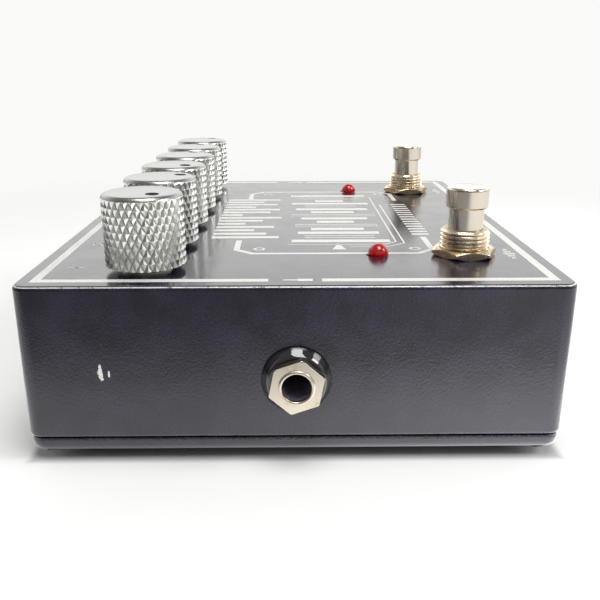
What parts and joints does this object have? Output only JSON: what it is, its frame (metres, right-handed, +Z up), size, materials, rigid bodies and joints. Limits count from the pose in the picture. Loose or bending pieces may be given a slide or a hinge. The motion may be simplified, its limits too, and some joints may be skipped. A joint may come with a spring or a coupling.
{
  "type": "guitar effects pedal",
  "caption": "Die-cast guitar effects pedal with a row of knurled knobs, sprung footswitches, red lamps, quarter-inch end sockets and a rear power socket.",
  "frame": {"origin": "on the floor under the middle of the box", "axes": "+X to the player's right, towards the input socket; +Y away from the player, towards the knob row; +Z up"},
  "size_m": [0.156, 0.121, 0.0591],
  "materials": {
    "black_coat": "dark powder coat with a fine leathery texture",
    "screw_steel": "zinc plated",
    "foot_rubber": "matte",
    "knob_chrome": "bright plating",
    "pot_metal": "plain",
    "switch_plastic": "moulded",
    "switch_nickel": "polished nickel plating",
    "contact_brass": "tinned",
    "wire_cover": "insulation",
    "red_lamp": "tinted lens",
    "socket_plastic": "moulded",
    "bezel_plastic": "moulded, glossy",
    "socket_nickel": "nickel plating, satin",
    "board_laminate": "solder mask",
    "chip_plastic": "moulded",
    "capacitor_sleeve": "sleeve",
    "resistor_body": "lacquer"
  },
  "bodies": {
    "pedal": {"enclosure": "black_coat", "base_plate": "black_coat", "base_screws": "screw_steel", "rubber_feet": "foot_rubber", "pot_1": "pot_metal", "pot_2": "pot_metal", "pot_3": "pot_metal", "pot_4": "pot_metal", "pot_5": "pot_metal", "pot_6": "pot_metal", "pot_nuts": "pot_metal", "pot_washers": "pot_metal", "left_switch_case": "switch_plastic", "left_switch_bushing": "switch_nickel", "left_switch_spring": "pot_metal", "right_switch_case": "switch_plastic", "right_switch_bushing": "switch_nickel", "right_switch_spring": "pot_metal", "switch_nuts": "switch_nickel", "switch_washers": "pot_metal", "switch_lugs": "contact_brass", "left_switch_wires": "wire_cover", "right_switch_wires": "wire_cover", "left_lamp": "red_lamp", "right_lamp": "red_lamp", "lamp_legs": "pot_metal", "output_jack_housing": "socket_plastic", "output_jack_bezel": "bezel_plastic", "output_jack_nut": "socket_nickel", "output_jack_contacts": "contact_brass", "input_jack_housing": "socket_plastic", "input_jack_bezel": "bezel_plastic", "input_jack_nut": "socket_nickel", "input_jack_contacts": "contact_brass", "power_jack_housing": "socket_plastic", "power_jack_contacts": "contact_brass", "main_board": "board_laminate", "chips": "chip_plastic", "capacitors": "capacitor_sleeve", "resistors": "resistor_body"},
    "knob_1": {"knob_1": "knob_chrome", "knob_screw_1": "screw_steel", "pot_shaft_1": "pot_metal"},
    "knob_2": {"knob_2": "knob_chrome", "knob_screw_2": "screw_steel", "pot_shaft_2": "pot_metal"},
    "knob_3": {"knob_3": "knob_chrome", "knob_screw_3": "screw_steel", "pot_shaft_3": "pot_metal"},
    "knob_4": {"knob_4": "knob_chrome", "knob_screw_4": "screw_steel", "pot_shaft_4": "pot_metal"},
    "knob_5": {"knob_5": "knob_chrome", "knob_screw_5": "screw_steel", "pot_shaft_5": "pot_metal"},
    "knob_6": {"knob_6": "knob_chrome", "knob_screw_6": "screw_steel", "pot_shaft_6": "pot_metal"},
    "left_footswitch": {"left_switch_plunger": "switch_nickel"},
    "right_footswitch": {"right_switch_plunger": "switch_nickel"}
  },
  "joints": [
    {"name": "knob_1_turn", "type": "hinge", "parent": "pedal", "child": "knob_1", "pos_m": [-0.0585, 0.034, 0.0412], "axis": [0, 0, 1], "range_deg": [-276, 24]},
    {"name": "knob_2_turn", "type": "hinge", "parent": "pedal", "child": "knob_2", "pos_m": [-0.0351, 0.034, 0.0412], "axis": [0, 0, 1], "range_deg": [0, 300]},
    {"name": "knob_3_turn", "type": "hinge", "parent": "pedal", "child": "knob_3", "pos_m": [-0.0117, 0.034, 0.0412], "axis": [0, 0, 1], "range_deg": [-286, 14]},
    {"name": "knob_4_turn", "type": "hinge", "parent": "pedal", "child": "knob_4", "pos_m": [0.0117, 0.034, 0.0412], "axis": [0, 0, 1], "range_deg": [-38, 262]},
    {"name": "knob_5_turn", "type": "hinge", "parent": "pedal", "child": "knob_5", "pos_m": [0.0351, 0.034, 0.0412], "axis": [0, 0, 1], "range_deg": [-44, 256]},
    {"name": "knob_6_turn", "type": "hinge", "parent": "pedal", "child": "knob_6", "pos_m": [0.0585, 0.034, 0.0412], "axis": [0, 0, 1], "range_deg": [-20, 280]},
    {"name": "left_footswitch_press", "type": "slide", "parent": "pedal", "child": "left_footswitch", "axis": [0, 0, -1], "range_m": [0, 0.003], "stiffness_N_per_m": 2500, "springref_m": -0.004, "deforming": ["left_switch_spring"]},
    {"name": "right_footswitch_press", "type": "slide", "parent": "pedal", "child": "right_footswitch", "axis": [0, 0, -1], "range_m": [0, 0.003], "stiffness_N_per_m": 2500, "springref_m": -0.004, "deforming": ["right_switch_spring"]}
  ]
}
